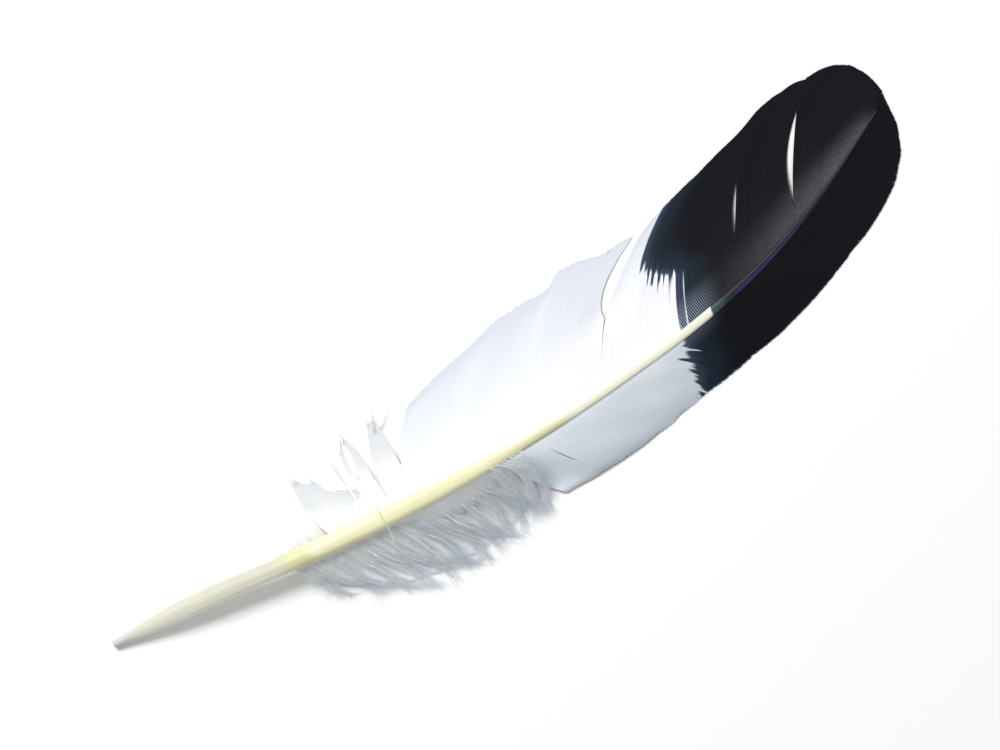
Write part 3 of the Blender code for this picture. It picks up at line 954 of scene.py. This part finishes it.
def add_locks(name, roots, dice):
    """One piece of the down tract: barbs and wisps in pale tones, with their barbules."""
    stems, stem_size = down_stems(DOWN_TRACT, roots, dice)
    barbules, barbule_size, tone = down_barbules(DOWN_TRACT, BARBULES, roots, dice, 6.5)
    wisps, wisp_size = down_wisps(DOWN_TRACT, roots, dice)
    points, quads, ends = strands(np.concatenate((stems, wisps)),
                                  np.concatenate((stem_size, wisp_size)))
    more, more_quads, more_ends = strands(barbules, barbule_size)
    tones = np.concatenate((np.full(len(points), 0.95), np.repeat(tone, len(more) // len(tone))))
    spot = np.arange(len(tones))
    chart = np.stack((0.99 * np.clip(tones, 0, 1) + 0.004 * (spot % 3), (spot // 3) % 4 / 4), axis=-1)
    faces = [np.concatenate((quads, more_quads + len(points))),
             np.concatenate((ends, more_ends + len(points)))]
    return add_mesh(name, np.concatenate((points, more)), faces, {"tone": tones}, chart, rounded=False)


def down_finish():
    """White barbules with a cool cast, painted darker and bluer where their tone is low: painted shade of
    the deeper layers.
    """
    made, shader, wire = finish("down", Specular_IOR_Level=0.05, Roughness=0.85)
    tone = wire.value("tone")
    join(shader, tone.mix(tint(218, 231, 247), tint(252, 254, 255)), "Base Color")
    return made


down = down_finish()
for name, web in (("down_cover_barbs", DOWN_COVER), ("down_bed_barbs", DOWN_BED)):
    cover = add_web(name, [web], dice)
    cover.data.materials.append(loose_barbs)
    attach(cover, "root")
for name, roots in DOWN_ROOTS.items():
    locks = add_locks(name, roots, dice)
    locks.data.materials.append(down)
    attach(locks, "root")
    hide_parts("down_narrow_side")

path, size, tone = down_barbules(DOWN_FRINGE, FRINGE_BARBULES, DOWN_FRINGE["roots"], dice, 3.5)
# The fringe takes the same painted shade by layer, lifted by 0.4 towards white.
fringe = add_strands("down_fringe", path, size * 0.7, tone + 0.4)
fringe.data.materials.append(down)
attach(fringe, "root")
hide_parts("down_broad_side")

# One cream hair has come loose and lies curled over the rachis.
HAIR_LIFT = 0.45
hair_line = np.array(((86.6, -11.4, 9.6), (86.5, -13.2, 11.2), (86.1, -15.2, 11.9), (86.3, -17.4, 11.8),
                      (86.0, -19.4, 10.9), (85.6, -21.4, 10.1), (84.6, -23.4, 9.5), (83.3, -25.2, 9.0)))
hair_size = np.linspace(0.4, 0.22, len(hair_line))
hair = add_strands("loose_hair", hair_line[None] + (0.0, 0.0, HAIR_LIFT), hair_size[None],
                   np.array([0.5]))
cream_hair, shader, wire = finish("cream hair", Roughness=0.5, Specular_IOR_Level=0.3)
creams = wire.noise(300.0).band(0.35, 0.65).mix(tint(245, 242, 220), tint(253, 252, 240))
join(shader, creams, "Base Color")
hair.data.materials.append(cream_hair)
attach(hair, "root")


# ---------------------------------------------------------------------------
# The table, the light and the camera. A plain white table, an even pale surround
# and one wide soft lamp on the broad vane's side; the camera looks straight down,
# turned so that the tip points up and to the right.
# ---------------------------------------------------------------------------
TABLE_SIDE = 3.0
LAMP_SIDE = 0.75
LAMP_DISTANCE = 2.2
LAMP_HEIGHT_ANGLE = math.radians(50)
LAMP_TURN = math.radians(96)          # from the tip's direction round to the broad side
SURROUND_LIGHT = 0.42
SURROUND_COLOUR = (0.97, 0.985, 1.0, 1.0)
LAMP_LIGHT = 0.86                     # what a white sheet facing the lamp sends back
LAMP_COLOUR = (1.0, 0.995, 0.98)
CAMERA_HEIGHT = 2.0
VIEW_CENTRE = (138.9, -20.2)          # from the box's corner at the quill's end, broad side
VIEW_WIDTH = 1.054 * (cad_high[0] - cad_low[0])
CHORD_TILT = math.radians(35.4)

mesh = bpy.data.meshes.new("table")
half = TABLE_SIDE / 2
mesh.from_pydata([(-half, -half, 0), (half, -half, 0), (half, half, 0), (-half, half, 0)], [],
                 [(0, 1, 2, 3)])
table = bpy.data.objects.new("table", mesh)
bpy.context.collection.objects.link(table)
white_table, _, _ = finish("white table", Roughness=0.9, Specular_IOR_Level=0.1,
                           Base_Color=(0.99, 0.99, 0.99, 1.0))
mesh.materials.append(white_table)

surround = bpy.data.worlds.new("surround")
surround.use_nodes = True
surround.node_tree.nodes["Background"].inputs["Color"].default_value = SURROUND_COLOUR
surround.node_tree.nodes["Background"].inputs["Strength"].default_value = SURROUND_LIGHT
bpy.context.scene.world = surround

lamp = bpy.data.objects.new("lamp", bpy.data.lights.new("lamp", "AREA"))
lamp.data.size = LAMP_SIDE
lamp.data.energy = LAMP_LIGHT * math.pi ** 2 * LAMP_DISTANCE ** 2
lamp.data.color = LAMP_COLOUR
lamp.location = (LAMP_DISTANCE * math.cos(LAMP_HEIGHT_ANGLE) * math.cos(LAMP_TURN),
                 LAMP_DISTANCE * math.cos(LAMP_HEIGHT_ANGLE) * math.sin(LAMP_TURN),
                 LAMP_DISTANCE * math.sin(LAMP_HEIGHT_ANGLE))
lamp.rotation_euler = (0.0, math.pi / 2 - LAMP_HEIGHT_ANGLE, LAMP_TURN)
bpy.context.collection.objects.link(lamp)

camera = bpy.data.objects.new("camera", bpy.data.cameras.new("camera"))
camera.data.lens = camera.data.sensor_width * CAMERA_HEIGHT / VIEW_WIDTH
camera.data.clip_end = 20.0
camera.location = (cad_low[0] + VIEW_CENTRE[0] * MM, cad_high[1] + VIEW_CENTRE[1] * MM, CAMERA_HEIGHT)
camera.rotation_euler = (0.0, 0.0, -CHORD_TILT)
bpy.context.collection.objects.link(camera)
bpy.context.scene.camera = camera
bpy.context.scene.view_settings.view_transform = "Standard"
